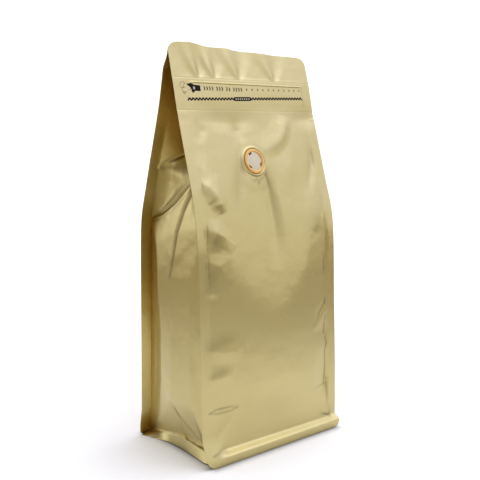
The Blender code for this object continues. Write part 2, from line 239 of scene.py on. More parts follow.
# painted shade along the front's tight creases: here the depth is how dark the painted line is
frontShadeLines = [
    fold(((57.3, 112), (57.6, 108.5)), 0.5, 1.4, 1.4, 0.4),
    fold(((57, 108), (51, 102), (46, 94)), (0.4, 0.3, 0.1), 1.2, 1.2, 0.4),
    fold(((58.2, 97), (57, 89), (56.4, 82)), (0.3, 0.6, 0.4), 1.2, 1.2, 0.4),
    fold(((58.2, 79), (59.6, 73), (57.3, 66), (58.4, 58), (58.6, 50), (58.2, 45), (60.8, 41)),
         (0.4, 0.65, 0.5, 0.5, 0.3), 1.1, 1.1, 0.4),
    fold(((60.3, 39), (60.8, 28), (62.2, 11)), (0.3, 0.4, 0.5), 1.1, 1.1, 0.4),
    fold(((46, 37.2), (53, 38.2), (59, 38.6)), (0.15, 0.3, 0.2), 0.9, 0.9, 0.4),
    fold(((57.5, 152), (56.8, 142), (56.6, 130)), (0, 0.4, 0.35, 0), 1.6, 1.6, 0.5),
    fold(((-63, 41.6), (-57, 43.2), (-45, 43.2), (-37, 41)), (0.3, 0.5, 0.4, 0.25), 0.9, 0.8, 0.3),
    fold(((-63, 41.6), (-56, 39.8), (-44, 39.8), (-37, 41)), (0.3, 0.45, 0.45, 0.25), 0.8, 0.9, 0.3),
    # painted shade of the slack folds round the valve and along the right seam, softer
    fold(((37, 262), (34, 252), (29, 244), (20, 238), (8, 234)), (0.06, 0.17, 0.2, 0.16, 0.04), 7, 4, 1.5),
    fold(((5, 218), (8, 205), (11, 180), (12, 150)), (0.25, 0.22, 0.1, 0), 6, 3, 1),
    fold(((-15, 234), (-20, 222), (-26, 204), (-29, 186)), (0.05, 0.13, 0.12, 0), 5, 7, 1.5),
    fold(((-20, 260), (-16, 251), (-13, 243)), (0.05, 0.14, 0), 5, 6, 1.5),
    fold(((61, 240), (55, 222), (48, 204)), (0.05, 0.14, 0.05), 5, 5, 1.5),
    fold(((61, 196), (54, 186), (44, 166)), (0.12, 0.18, 0.12), 4, 12, 1.5),
    # painted shade on the sag above the zip's lower weld, on the ridge of the skirt and on the film over it
    fold(((-58, 261.5), (-20, 262.5), (10, 260.5)), (0, 0.13, 0.13, 0), 12, 5, 2),
    fold(((36, 262), (48, 263), (63, 264)), (0, 0.13, 0.13), 12, 6, 2),
    fold(((-60, 8), (62, 8)), 0.1, 2.5, 2.5, 0.8),
    fold(((-56, 11), (-46, 11), (62, 11)), (0, 0.12, 0.15), 14, 1, 1),
    # painted shade: the hollows beside the left seam are painted a little darker
    fold(((-62, 153), (-60.5, 143), (-62, 133)), (0.1, 0.3, 0.12), 13, 1, 1),
    fold(((-61, 177), (-53.5, 169), (-50, 158)), (0.16, 0.22, 0.05), 7, 6, 1),
    fold(((-61, 91), (-50, 94.5), (-34, 96)), (0.2, 0.2, 0), 9, 5, 1.5),
    fold(((-60, 69), (-51, 71.5), (-42, 73)), (0.2, 0.22, 0), 5, 4, 1),
    fold(((-60, 206), (-54, 203), (-50, 193)), (0.14, 0.2, 0.05), 5, 4, 1),
    fold(((-62, 179), (-61.8, 172), (-61.5, 164)), (0.4, 0.3, 0), 0.9, 1.5, 0.4),
    fold(((-62, 155), (-62, 134)), (0.35, 0.2), 0.9, 1.5, 0.4),
    fold(((-62.5, 9.5), (-50, 11.8)), (0.5, 0), 1.2, 1.2, 0.4),
    fold(((50, 13.8), (57, 12.5), (62.5, 9.8)), (0, 0.5, 0.6), 1.4, 1.4, 0.5),
    fold(((-12, 214), (-9.5, 211.5), (-6, 213.5), (-4.5, 209.5), (-1.5, 213.5), (2, 211.5)),
         (0.1, 0.35, 0.35, 0.1), 1.4, 1.4, 0.5),
    fold(((4, 217), (8, 207), (10.5, 196)), (0.3, 0.15, 0), 2.2, 1.4, 0.6),
]
# the flat band sags a little over its lower weld
bandFolds = [
    fold(((-57, 257), (-40, 257.5), (-22, 256), (8, 259)), (0, 0.9, 0.9, 0), 15, 8, 2),
    fold(((40, 259), (62, 260)), (0, 1.3), 14, 9, 2),
]


def along(values, share):
    values = np.atleast_1d(np.asarray(values, float))
    return np.interp(share, np.linspace(0, 1, len(values)), values)


def foldDepth(x, z, folds):
    # how far the folds press the film in
    total = np.zeros_like(x)
    for each in folds:
        path = each["path"]
        lengths = [math.dist(a, b) for a, b in zip(path, path[1:])]
        nearest, side, run = np.full_like(x, 1e9), np.zeros_like(x), np.zeros_like(x)
        passed = 0
        for (x0, z0), (x1, z1), length in zip(path, path[1:], lengths):
            ux, uz = (x1 - x0) / length, (z1 - z0) / length
            t = np.clip((x - x0) * ux + (z - z0) * uz, 0, length)
            away = np.hypot(x - x0 - t * ux, z - z0 - t * uz)
            closer = away < nearest
            nearest = np.where(closer, away, nearest)
            side = np.where(closer, ux * (z - z0) - uz * (x - x0), side)
            run = np.where(closer, passed + t, run)
            passed += length
        share = run / passed
        width = np.where(side > 0, along(each["above"], share), along(each["below"], share))
        off = np.sqrt(nearest ** 2 + each["soft"] ** 2) - each["soft"]
        shape = np.clip(1 - off / np.maximum(width, 1e-3), 0, 1) ** each["bend"]
        if each["lap"]:
            shape = shape * ramp(nearest * np.sign(side), *film["lapDrop"])
        total += along(each["depth"], share) * shape
    return total


def bandPlane(z):
    return film["bandY"] + (z - film["bandStart"]) * film["bandLean"]


def frontProfile(z, lowest=frontPlane):
    lean = film["bandY"] - (film["bandStart"] - z) * film["lean"]
    return larger(lowest, smaller(lean, bandPlane(z), film["edgeRound"]), film["kneeRound"])


def backProfile(z):
    lowPart = film["backLow"] - z * film["backDrift"]
    lean = film["backLeanAt"][1] - (z - film["backLeanAt"][0]) * film["backLean"]
    top = film["backTopAt"][1] - (z - film["backTopAt"][0]) * film["backTopLean"]
    openBack = smaller(lowPart, larger(lean, top, film["edgeRound"]), film["kneeRound"])
    shutBack = frontProfile(z) + film["topThickness"]
    return openBack + (shutBack - openBack) * ramp(z, *film["shutRise"])


def twist(x, z):
    return film["twist"] * x / halfWidth * ramp(z, *film["twistRise"])


def skirt(x, z):
    # the sealed strip round the bottom stands out sharply, but slowly under the left fins
    (first, last), shifts = film["skirtRise"], film["skirtSoft"]
    rise = sum(np.clip((z + shift - first) / (last - first), 0, 1) for shift in shifts) / len(shifts)
    onPanel, onFin = 1 - rise, 1 - ramp(z, *film["finFoot"])
    return onPanel + (onFin - onPanel) * ramp(-x - root, *film["finBlend"])


def inner(x):
    return np.clip(1 - (x / root) ** 2, 0, 1)


def flutes(x, z):
    # each is a wave that starts at the band and opens upwards: out on its left, in on its right
    rise = np.clip((z - film["fluteStart"]) / (topHeight - film["fluteStart"]), 0, 1)
    total = np.zeros_like(x)
    for foot, head, height, footWide, headWide in film["flutes"]:
        off = (x - foot - (head - foot) * rise) / (footWide + (headWide - footWide) * rise)
        total -= height * (1 - np.exp(-film["fluteGrowth"] * rise)) * off * np.exp(0.5 - 0.5 * off ** 2)
    return total


def valveSeat(x, z):
    return frontProfile(valveAt[1]) + (z - valveAt[1]) * film["lean"] + twist(x, z)


def frontFilm(x, z):
    lower = frontPlane - film["bulge"] * inner(x) * ramp(z, *film["bulgeRise"])
    lower = lower + np.maximum(z - film["waist"], 0) * film["waistLean"]
    fromMiddle = np.hypot(x, film["shoulderMiddle"]) - film["shoulderMiddle"]
    start = film["shoulderApex"] + film["shoulderSpread"] * fromMiddle
    for side, (more, first, last) in ((-1, film["shoulderLeft"]), (1, film["shoulderRight"])):
        start = start + more * ramp(side * x, first, last)
    shoulder = frontPlane - film["bulge"] + (z - start) * film["shoulderLean"]
    panel = frontProfile(z, larger(lower, shoulder, film["shoulderRound"]))
    y = np.where(np.abs(x) < root + film["seamMask"], panel, frontProfile(z)) + twist(x, z) - flutes(x, z)
    away = np.hypot(x - valveAt[0], z - valveAt[1])
    y = valveSeat(x, z) + (y - valveSeat(x, z)) * ramp(away, *film["valveFlat"])
    onPanel = ramp(root - np.abs(x), -film["seamMask"], film["seamMask"])
    y = y + foldDepth(x, z, frontFolds) * onPanel * ramp(away, *film["valveFolds"])
    middle = sum(film["bandEdges"]) / 2
    offBand = ramp(np.abs(z - middle), *film["bandFlat"])
    band = bandPlane(z) + twist(x, z)
    y = band + (y - band) * offBand + foldDepth(x, z, bandFolds)
    for weld in film["welds"]:
        y = y + film["weldDeep"] * np.exp(-((z - weld) / film["weldWide"]) ** 2)
    return y + (-skirtReach - y) * skirt(x, z)


def backFilm(x, z):
    swell, full, ease, flat = film["backBulge"]
    bulge = film["bulge"] * inner(x) * ramp(z, swell, full) * (1 - ramp(z, ease, flat))
    y = backProfile(z) + bulge + twist(x, z) - flutes(x, z)
    return y + (skirtReach - y) * skirt(x, z)


# side gusset: points by share from front (-1) to back (1), height and inward depth, one or a row of them.
# The lines between them are its creases, and a name with Start is a row's first point.
gusset = {
    "points": {
        "frontFoot": (-1, 0, 0),
        "toeFoot": (-0.64, 0, 1.5),
        "middleFoot": (-0.035, 0, 2.2),
        "rearFoot": (0.5, 0, 1.2),
        "backFoot": (1, 0, 0),
        "toe": (-0.67, 12.9, 1),
        "corner": (-0.035, 11, 2.2),
        "heel": (0.93, 5, 0.2),
        "flapTop": (-0.14, 31.6, -5),
        "lowApex": (0.063, 43, -7.1),
        "frontLow": (-0.55, 42, -5.7),
        "bend": ((0.63, 24, -2.5), (0.447, 55, -5), (0.43, 95, -5.5),
                 (0.58, 141, -4.9), (0.72, 162, -2.9)),
        "wall": ((0.85, 24, -0.3), (0.72, 55, -1.2), (0.72, 95, -1.3),
                 (0.76, 141, -1.1), (0.85, 163, -0.6)),
        "middle": (0.1, 95, -5.7),
        "frontMiddle": (-0.5, 95, -4.7),
        "frontHigh": (-0.5, 140, -4.5),
        "apex": (0.12, 139, -5.4),
        "tuck": ((0.05, 152, -4.6), (-0.05, 172.8, -2.3), (-0.2, 190, 0.8), (-0.45, 204.4, 4)),
        "rise": ((0.3, 112, -5.6), (0.3, 124, -5.3), (0.3, 136, -4.8), (0.3, 148, -4.1),
                 (0.32, 160, -2.9), (0.34, 172, -1.5), (0.35, 182, 0.4)),
        "kite": ((0.55, 186, 1.2), (0.25, 194, 3), (-0.11, 204.5, 4.6)),
        "kiteTip": (-0.41, 212, 5.2),
        "ledge": ((0.66, 193, 3.4), (0.41, 204.5, 6.4), (0, 212.5, 7.2)),
        "ledgeTip": (-0.37, 216, 6.6),
        "recessTip": (0.9, 222.8, 2.6),
        "recess": ((0.66, 220, 6), (0.2, 217, 7.6)),
        "wedge": ((0.74, 225.5, 7.4), (0.47, 231, 11.9), (0.16, 234.5, 12.9)),
        "wedgeFront": (-0.6, 230, 9),
        "frontKnee": (-1, 182, 0),
        "frontTip": (-1, 214, 0),
        "backKnee": (1, 181, 0),
        "backTip": (1, 223.5, 0),
        "foldLow": (0, 247, 42),  # above this the gusset is folded in
        "foldHigh": (0, 304, 44),
        "frontTop": (-1, 316, 0),
        "middleTop": (0, 316, 0.4),
        "backTop": (1, 316, 0),
    },
    "creases": (
        "middleFoot corner lowApex middle apex", "corner toe", "corner heel", "lowApex heel",
        "lowApex flapTop toe", "bend backKnee", "wall backKnee", "apex tuck kiteTip",
        "backKnee kite kiteTip frontTip", "rise kiteStart", "backKnee ledge ledgeTip kiteTip",
        "backTip recessTip", "recessTip recess ledgeTip", "recessTip wedge wedgeFront frontTip",
        "backTip foldLow foldHigh middleTop", "frontKnee apex", "heel bendStart", "heel wallStart",
    ),
    "blur": 1.6,
    # sealed flap at the floor: depth at the floor, and the height of its upper rim
    "flapFoot": ((-1, 0), (-0.72, -3), (-0.035, -0.4), (0.35, -0.8), (1, -9)),
    "flapRim": ((-1, 8), (-0.67, 7.8), (-0.07, 9.5), (-0.035, 11), (1, 2.2)),
    "rimDepth": 0.3,
    "rimDrop": (-0.2, 0.7),
}
# laps and fine lines of the gusset, by y and height
kiteEdge = ((-13.5, 212), (-4.3, 204.5), (8.7, 194), (21.5, 186), (38, 181))
tuckEdge = ((-15.5, 204.4), (-8.6, 190), (-3.1, 172.8), (0.5, 152), (4.1, 139.3))
gussetFolds = [
    fold(kiteEdge, (1, 1.5, 1.4, 1, 0.4), 3, 4, 0.2, bend=1.1, lap=True),
    fold(tuckEdge, (2.2, 2.3, 2, 1.4, 0.3), (6, 6, 5, 4, 3), 7, 0.2, bend=1.2, lap=True),
    fold(((0, 31), (-27, 12)), (0.6, 2), 11, 11, 0.2, lap=True),
    fold(((5, 137), (6, 60)), (0.15, 0.1), 1.2, 1.2, 0.3),
]

# painted shade along creases and on some facets of the gusset, as on the front
gussetShadeLines = [
    fold(tuckEdge, (1, 0.95, 0.95, 0.85, 0.5), (6, 5.5, 4.5, 3.2, 1.5), 2, 0.6, bend=1.3),
    fold(((-17, 207), (-19.5, 196), (-21, 184)), (0.7, 0.5, 0), 4, 6, 1),
    fold(kiteEdge, (0.35, 0.45, 0.45, 0.45, 0.6), (4, 7, 8, 6, 3), 0.6, 0.4, bend=1.3),
    fold(((-15, 208), (-5, 200), (8, 189.5), (21, 182.5), (36, 179)), (0.2, 0.25, 0.2, 0.2, 0.4),
         1.2, 0.8, 0.4),
    fold(((-9, 223), (25, 222)), (0.5, 0.3), (10, 1), (9, 1), 0.3, bend=0.5),
]


def creaseNetwork():
    # triangles between the gusset's points that keep its creases
    points, places = [], {}
    for name, group in gusset["points"].items():
        group = group if isinstance(group[0], tuple) else (group,)
        places[name] = range(len(points), len(points) + len(group))
        places[name + "Start"] = places[name][:1]
        points += group
    edges = []
    for crease in gusset["creases"]:
        stops = [place for name in crease.split() for place in places[name]]
        edges += list(zip(stops, stops[1:]))
    halfGusset = film["depth"] / 2
    flat = [Vector((share * halfGusset, z)) for share, z, depth in points]
    corners, _, faces, sources, _, _ = delaunay_2d_cdt(flat, edges, [], 0, 1e-4)
    depths = [points[source[0]][2] for source in sources]
    return [[(corners[i].x / halfGusset, corners[i].y, depths[i]) for i in face] for face in faces]


def blurred(field, spread):
    # soft folds: a Gaussian blur that leaves the seams where they are
    size = int(3 * spread) + 1
    kernel = np.exp(-0.5 * (np.arange(-size, size + 1) / spread) ** 2)
    kernel /= kernel.sum()
    for axis in (0, 1):
        field = np.moveaxis(field, axis, 0)
        head, tail = 2 * field[:1] - field[size:0:-1], 2 * field[-1:] - field[-2:-size - 2:-1]
        padded = np.concatenate((head, field, tail))
        field = sum(weight * padded[i:i + len(field)] for i, weight in enumerate(kernel))
        field = np.moveaxis(field, 0, axis)
    return field


def gussetField():
    # depth of the gusset on a grid of 1 mm
    across = np.linspace(-1, 1, int(film["depth"]) + 1)
    up = np.arange(0, topHeight + 1)
    share, z = np.meshgrid(across, up)
    z = np.minimum(z, topHeight)
    depth = np.zeros_like(share)
    for (x0, z0, d0), (x1, z1, d1), (x2, z2, d2) in creaseNetwork():
        area = (x1 - x0) * (z2 - z0) - (x2 - x0) * (z1 - z0)
        b = ((share - x0) * (z2 - z0) - (x2 - x0) * (z - z0)) / area
        c = ((x1 - x0) * (z - z0) - (share - x0) * (z1 - z0)) / area
        inside = (b >= -1e-6) & (c >= -1e-6) & (b + c <= 1 + 1e-6)
        depth = np.where(inside, d0 + b * (d1 - d0) + c * (d2 - d0), depth)
    return blurred(depth, gusset["blur"])


gussetDepths = gussetField()


def readField(field, share, z):
    column = np.clip((share + 1) / 2 * (field.shape[1] - 1), 0, field.shape[1] - 1.001)
    row = np.clip(z, 0, field.shape[0] - 1.001)
    i, j = row.astype(int), column.astype(int)
    u, v = row - i, column - j
    return ((field[i, j] * (1 - v) + field[i, j + 1] * v) * (1 - u)
            + (field[i + 1, j] * (1 - v) + field[i + 1, j + 1] * v) * u)


def gussetDepth(share, y, z):
    rim = np.interp(share, *zip(*gusset["flapRim"]))
    foot = np.interp(share, *zip(*gusset["flapFoot"]))
    above = np.maximum(z, rim)
    panel = readField(gussetDepths, share, above) + foldDepth(y, above, gussetFolds)
    flap = foot + (gusset["rimDepth"] - foot) * np.clip(z / rim, 0, 1)
    return flap + (panel - flap) * ramp(z - rim, *gusset["rimDrop"])


# how finely the film is divided: columns of each part, and the lowest, middle and top steps in height
finColumns, frontColumns, backColumns, gussetColumns = 5, 171, 41, 96
lowStep, middleStep, topStep, weldStep = 0.5, 0.85, 0.8, 0.3


def reach(z, corner):
    # half width at a height, with the rounded corners at the foot and the top taken off
    lowCut = corner - np.sqrt(np.maximum(corner ** 2 - np.maximum(corner - z, 0) ** 2, 0))
    over = np.maximum(z - (topHeight - film["topCorner"]), 0)
    highCut = film["topCorner"] - np.sqrt(np.maximum(film["topCorner"] ** 2 - over ** 2, 0))
    return halfWidth - lowCut - highCut


def panelRow(side, z, corners, columns):
    # across a panel from the left fin's edge to the right fin's
    left, right = (reach(z, corner) for corner in corners)
    narrower, first, full, until, last = film["rightWaist"]
    right -= narrower * float(ramp(z, first, full) * (1 - ramp(z, until, last)))
    leftRoot, rightRoot = min(root, left - film["leastFin"]), min(root, right - film["leastFin"])
    x = np.concatenate((
        np.linspace(-left, -leftRoot, finColumns)[:-1],
        np.linspace(-leftRoot, rightRoot, columns),
        np.linspace(rightRoot, right, finColumns)[1:],
    ))
    return np.column_stack((x, side(x, np.full_like(x, z))))


def turnRearFins(row, z):
    # the rear fins bend back a little, most of all low down
    outside = np.maximum(np.abs(row[:, 0]) - root, 0)
    foot, fall, again = (change * ramp(z, start, end) for change, start, end in film["rearFinLevels"])
    share = float(foot * (1 + fall + again))
    across, back = film["rearFinTurn"]
    row[:, 0] -= np.sign(row[:, 0]) * outside * (1 - across) * share
    row[:, 1] += outside * back * share


def finRows(row, inward):
    # inner faces of a panel's two fins, each from its edge to its root
    left, right = row[:finColumns].copy(), row[-finColumns:].copy()
    left[:, 1] += inward
    right[:, 1] += inward
    return left, right[::-1]


def gussetRow(frontRoot, backRoot, z):
    share = np.linspace(-1, 1, gussetColumns)
    line = np.linspace(frontRoot, backRoot, gussetColumns)
    line[:, 0] -= np.sign(frontRoot[0]) * gussetDepth(share, line[:, 1], np.full_like(share, z))
    # near the top the flutes and the twist carry the folded film along with the front
    ends = np.array((frontRoot[0], *line[:, 0]))
    carried = twist(ends, z) - flutes(ends, np.full_like(ends, z))
    line[:, 1] += (carried[1:] - carried[0]) * float(ramp(z, *film["carryRise"]))
    return line[1:-1]


def section(z):
    frontRow = panelRow(frontFilm, z, film["frontCorners"], frontColumns)
    backRow = panelRow(backFilm, z, film["backCorners"], backColumns)
    turnRearFins(backRow, z)
    frontLeft, frontRight = finRows(frontRow, film["finThickness"])
    backLeft, backRight = finRows(backRow, -film["finThickness"])
    right = gussetRow(frontRight[-1], backRight[-1], z)
    left = gussetRow(frontLeft[-1], backLeft[-1], z)
    flat = np.concatenate((frontRow, frontRight, right, backRight[::-1], backRow[::-1],
                           backLeft, left[::-1], frontLeft[::-1]))
    edgeX, edgeZ = zip(*film["topEdge"])
    start = film["tiltStart"]
    tilt = (np.interp(flat[:, 0], edgeX, edgeZ) - start) / (topHeight - start)
    height = np.full(len(flat), z) if z <= start else start + (z - start) * tilt
    return np.column_stack((flat, height))


def setCreaseShade(piece, shade):
    # the film's material reads this as painted shade, darkening the creases and hollows
    values = piece.data.attributes.new("creaseShade", "FLOAT", "POINT")
    values.data.foreach_set("value", np.clip(shade, 0, 1).ravel())


def creaseShade(rings):
    # painted shade: how dark each point is painted, from the creases and hollows listed for the front and the
    # gussets
    shade = np.zeros(rings.shape[:2])
    columns = 2 * (finColumns - 1) + frontColumns
    shade[:, :columns] = foldDepth(rings[:, :columns, 0], rings[:, :columns, 2], frontShadeLines)
    start, count = columns + finColumns, gussetColumns - 2
    for part in (slice(start, start + count), slice(-finColumns - count, -finColumns)):
        shade[:, part] = foldDepth(rings[:, part, 1], rings[:, part, 2], gussetShadeLines)
    return shade


def pouchMesh(material):
    levels = np.concatenate((np.arange(0, 14, lowStep), np.arange(14, 308, middleStep),
                             np.arange(308, topHeight, topStep), [topHeight],
                             *(weld + np.arange(-1.2, 1.3, weldStep) for weld in film["welds"])))
    levels = np.unique(levels.round(3))
    rings = np.array([section(z) for z in levels])
    count, width = rings.shape[:2]
    faces = quadFaces(count, width, closed=True)
    faces.append(list(range(width))[::-1])
    faces.append(list(range((count - 1) * width, count * width)))
    piece = meshObject("pouchFilm", rings.reshape(-1, 3), faces, material)
    setCreaseShade(piece, creaseShade(rings))
    return piece


# materials
filmFinish = {
    "gold": "#C4B680",
    "goldShade": "#BFB07A",
    # painted shade: the colour painted into the creases
    "crease": "#4E3A12",
    # painted shade in the hollows of folds: how far the ambient occlusion reaches, and the tints it paints by
    # openness
    "hollowMm": 60,
    "foldShadeTints": ((0.42, "#D8BF92"), (0.52, "#DDC48A"), (0.58, "#F3E0A8"), (0.64, "#FFFBE0"),
                  (0.8, "#FFFFFF")),
    "metallic": 1,
    "roughness": 0.33,
    "roughnessSpread": 0.03,
    "coat": 0.2,
    "coatRoughness": 0.3,
    # size, height and strength of each relief: the lacquer's grain is about 0.03 mm in size, drawn ten times
    # as coarse so that it shows close up; the wave is the roller's, the slack is the film's own
    "grain": (0.35, 0.03, 0.15),
    "wave": (9, 0.3, 0.3),
    "slack": (22, 1.2, 0.5),
}


def metallisedFilm():
    # polyester film over vapour-coated aluminium under a matte gold lacquer:
    # gives broad satin highlights, tinted reflections and a very fine grain
    material, tree = newMaterial("metallisedGoldFilm")
    place = addNode(tree, "TexCoord").outputs["Object"]
    relief = None
    for layer, detail in (("grain", 2), ("wave", 1), ("slack", 3)):
        size, high, strength = filmFinish[layer]
        cloud = addNode(tree, "TexNoise", values={"Scale": patternScale(size), "Detail": detail},
                        links={"Vector": place})
        below = {"Normal": relief.outputs["Normal"]} if relief else {}
        relief = addNode(tree, "Bump", values={"Strength": strength, "Distance": high * mm},
                         links={"Height": cloud.outputs["Fac"], **below})
    tint = addNode(tree, "Mix", {"data_type": "RGBA"},
                   {6: linearColour(filmFinish["gold"]), 7: linearColour(filmFinish["goldShade"])},
                   {0: cloud.outputs["Fac"]})
    rough = addNode(tree, "MapRange",
                    values={"To Min": filmFinish["roughness"] - filmFinish["roughnessSpread"],
                            "To Max": filmFinish["roughness"] + filmFinish["roughnessSpread"]},
                    links={"Value": cloud.outputs["Fac"]})
    # painted shade: ambient occlusion darkens and warms the hollows of the folds in the colour, standing in
    # for the film's own colour thrown back and forth in them
    hollow = addNode(tree, "AmbientOcclusion", {"samples": 8, "only_local": True},
                     {"Distance": filmFinish["hollowMm"] * mm})
    folded = addNode(tree, "ValToRGB", links={"Fac": hollow.outputs["AO"]})
    setStops(folded, [(openness, linearColour(colour)) for openness, colour in filmFinish["foldShadeTints"]])
    tint = addNode(tree, "Mix", {"data_type": "RGBA", "blend_type": "MULTIPLY"}, {0: 1},
                   {6: tint.outputs[2], 7: folded.outputs["Color"]})
    # painted shade: the crease colour is mixed in where the creaseShade attribute says
    crease = addNode(tree, "Attribute", {"attribute_name": "creaseShade"})
    tint = addNode(tree, "Mix", {"data_type": "RGBA"}, {7: linearColour(filmFinish["crease"])},
                   {0: crease.outputs["Fac"], 6: tint.outputs[2]})
    shader = addNode(tree, "BsdfPrincipled",
                     values={"Metallic": filmFinish["metallic"], "Coat Weight": filmFinish["coat"],
                             "Coat Roughness": filmFinish["coatRoughness"]},
                     links={"Base Color": tint.outputs[2], "Roughness": rough.outputs[0],
                            "Normal": relief.outputs["Normal"]})
    addNode(tree, "OutputMaterial", links={"Surface": shader.outputs[0]})
    return material


coatSpread = 0.04  # how much the gloss of inks and plastics varies


def coatedMaterial(name, look):
    # one even colour with a faint cloud in tone and gloss, or an ink printed thinner and thinner to the right
    material, tree = newMaterial(name)
    place = addNode(tree, "TexCoord").outputs["Object"]
    cloud = addNode(tree, "TexNoise", values={"Scale": patternScale(look["cloudMm"]), "Detail": 2},
                    links={"Vector": place}).outputs["Fac"]
    share = cloud
    if "fade" in look:
        first, last = look["fade"]
        across = addNode(tree, "SeparateXYZ", links={0: place}).outputs["X"]
        share = addNode(tree, "MapRange", values={"From Min": first * mm, "From Max": last * mm},
                        links={"Value": across}).outputs[0]
    tint = addNode(tree, "Mix", {"data_type": "RGBA"},
                   {6: linearColour(look["colour"]), 7: linearColour(look["shade"])}, {0: share})
    rough = addNode(tree, "MapRange",
                    values={"To Min": look["roughness"] - coatSpread,
                            "To Max": look["roughness"] + coatSpread},
                    links={"Value": cloud})
    shader = addNode(tree, "BsdfPrincipled",
                     values={"Metallic": look.get("metallic", 0),
                             "Specular IOR Level": look.get("specular", 0.5)},
                     links={"Base Color": tint.outputs[2], "Roughness": rough.outputs[0]})
    addNode(tree, "OutputMaterial", links={"Surface": shader.outputs[0]})
    return material


def dress(piece, replaced=None):
    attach(piece, "root")
    if replaced:
        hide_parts(replaced)


# zip strip: a thin plate under the film with a bead round its top and right edges
strip = {
    "inset": 0.06,  # what the leaning plate's thickness adds to its box
    "thickness": 0.35,
    "lift": 0.02,
    "edge": 0.9,
    "softEdge": 7,
    "beadIn": 1,
    "beadWide": 0.55,
    "beadHigh": 0.35,
    "edgeStep": 0.2,
    "columns": 50,
    "rows": 12,
}
stripFirst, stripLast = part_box("tear_strip")
stripLeft, stripLow = (round(stripFirst[i] / mm + strip["inset"], 1) for i in (0, 2))
stripRight, stripHigh = (round(stripLast[i] / mm - strip["inset"], 1) for i in (0, 2))


def stripLift(x, z):
    # height of the plate over the flat band
    crisp = np.minimum(stripRight - x, stripHigh - z)
    soft = np.minimum(x - stripLeft, z - stripLow)
    bead = strip["beadHigh"] * np.exp(-((crisp - strip["beadIn"]) / strip["beadWide"]) ** 2)
    plate = strip["thickness"] * ramp(crisp, 0, strip["edge"]) + bead * ramp(crisp, 0, strip["edge"])
    return plate * ramp(soft, 0, strip["softEdge"])


def onBand(points, lift):
    # band places (x, z) to the pouch's frame, lifted off the film or the plate
    x, z = np.asarray(points, float).T
    surface = bandPlane(z) + twist(x, z) + foldDepth(x, z, bandFolds)
    return np.column_stack((x, surface - stripLift(x, z) - lift, z))


def stripMesh(material):
    fineEdge = np.arange(0, 2.4, strip["edgeStep"])
    across, up = (
        np.concatenate((start + fineEdge, np.linspace(start + 3, end - 3, count), end - fineEdge[::-1]))
        for start, end, count in
        ((stripLeft, stripRight, strip["columns"]), (stripLow, stripHigh, strip["rows"]))
    )
    x, z = np.meshgrid(across, up)
    plate = np.column_stack((x.ravel(), z.ravel()))
    points = onBand(plate, strip["lift"])
    piece = meshObject("zipStrip", points, quadFaces(len(up), len(across)), material)
    # the front's painted shade of creases and sags carries over the strip
    setCreaseShade(piece, foldDepth(plate[:, 0], plate[:, 1], frontShadeLines))
    return piece


# print on the strip, in millimetres on the band
artwork = {
    "lift": 0.06,  # the sheets of ink lie this far over the film, and those on top a little further
    "climb": 0.026,  # the printed stripe rises to the right by this share
    # the real zigzag is 2.5 mm from tooth to tooth; a wider one still shows as one
    "stripe": {"from": -59.6, "to": 60.6, "height": 274.9, "tall": 2.3, "step": 3.1, "line": 1.45},
    "pill": {"from": -15.4, "to": 2.8, "height": 274.8, "tall": 3.1,
             "marks": 7, "markWide": 1.1, "markTall": 1.2},
    "marks": {"from": -43.3, "height": 281.8, "tall": 3, "wide": 1.9, "line": 0.7, "step": 2.55,
              "groups": (4, 3, 2, 4), "space": 1.9},
    "arrows": {"from": -1, "to": 56.6, "height": 282.1, "climb": 0.8,
               "count": 11, "wide": 1.35, "tall": 2.2},
    "tab": (  # a pull tab with a hole, convex shapes laid over one another
        ((-51.8, 279.6), (-46.6, 279.4), (-46.1, 280), (-46.1, 283.2), (-46.6, 283.8), (-51.8, 284)),
        ((-58.4, 284.4), (-54.6, 281.6), (-51.8, 282.4), (-51.6, 283.9), (-52.6, 284.7), (-54.2, 285.3)),
        ((-54.8, 283), (-55, 281.2), (-53.4, 279.6), (-51.8, 279.6), (-51.8, 284)),
        ((-54.6, 279.9), (-53.6, 278), (-52.4, 278.4), (-51.2, 279.8), (-52.4, 280.8)),
    ),
    "wedge": ((-57.3, 280.4), (-54.9, 279.6), (-55.2, 281.3)),
    "hole": ((-52, 281.7), 0.9, 1.2),
    # thin looped line of the tab's string: centre, half width, half height, first and last angle
    "loops": (
        ((-61.8, 283.6), 2.6, 2.4, 40, 300),
        ((-60.6, 280.2), 2.5, 2.1, 60, 330),
        ((-61.2, 278), 1.1, 0.9, 0, 350),
        ((-58.6, 282.6), 3, 2.6, 100, 190),
    ),
    "loopLine": 0.3,
}


def printSheet(name, outlines, material, lift=0):
    points, faces = [], []
    for outline in outlines:
        faces.append(list(range(len(points), len(points) + len(outline))))
        points += outline
    placed = onBand(points, artwork["lift"] + lift)
    piece = meshObject(name, placed, faces, material)
    dress(piece)
    return piece


def box(left, low, right, high):
    return [(left, low), (right, low), (right, high), (left, high)]


def oval(centre, wide, tall, corners=20):
    turns = [2 * math.pi * i / corners for i in range(corners)]
    return [(centre[0] + wide * math.cos(t), centre[1] + tall * math.sin(t)) for t in turns]


def arc(centre, wide, tall, first, last, line):
    # a thin open loop as a run of short boxes
    turns = np.radians(np.linspace(first, last, 22))
    outside, inside = (
        [(centre[0] + (wide - step) * math.cos(t), centre[1] + (tall - step) * math.sin(t)) for t in turns]
        for step in (0, line)
    )
    return [[outside[i], outside[i + 1], inside[i + 1], inside[i]] for i in range(len(turns) - 1)]


def stripeBars():
    look = artwork["stripe"]
    foot, head = (look["height"] + side * look["tall"] / 2 for side in (-1, 1))
    line, bars = look["line"], []
    for start in np.arange(look["from"], look["to"] - look["step"], look["step"]):
        peak = start + look["step"] / 2
        for x in (start, start + look["step"]):  # one stroke up and one down
            bars.append(climbed([(x, foot), (x + line, foot), (peak + line, head), (peak, head)]))
    return bars


def climbed(outline):
    return [(x, z + artwork["climb"] * x) for x, z in outline]


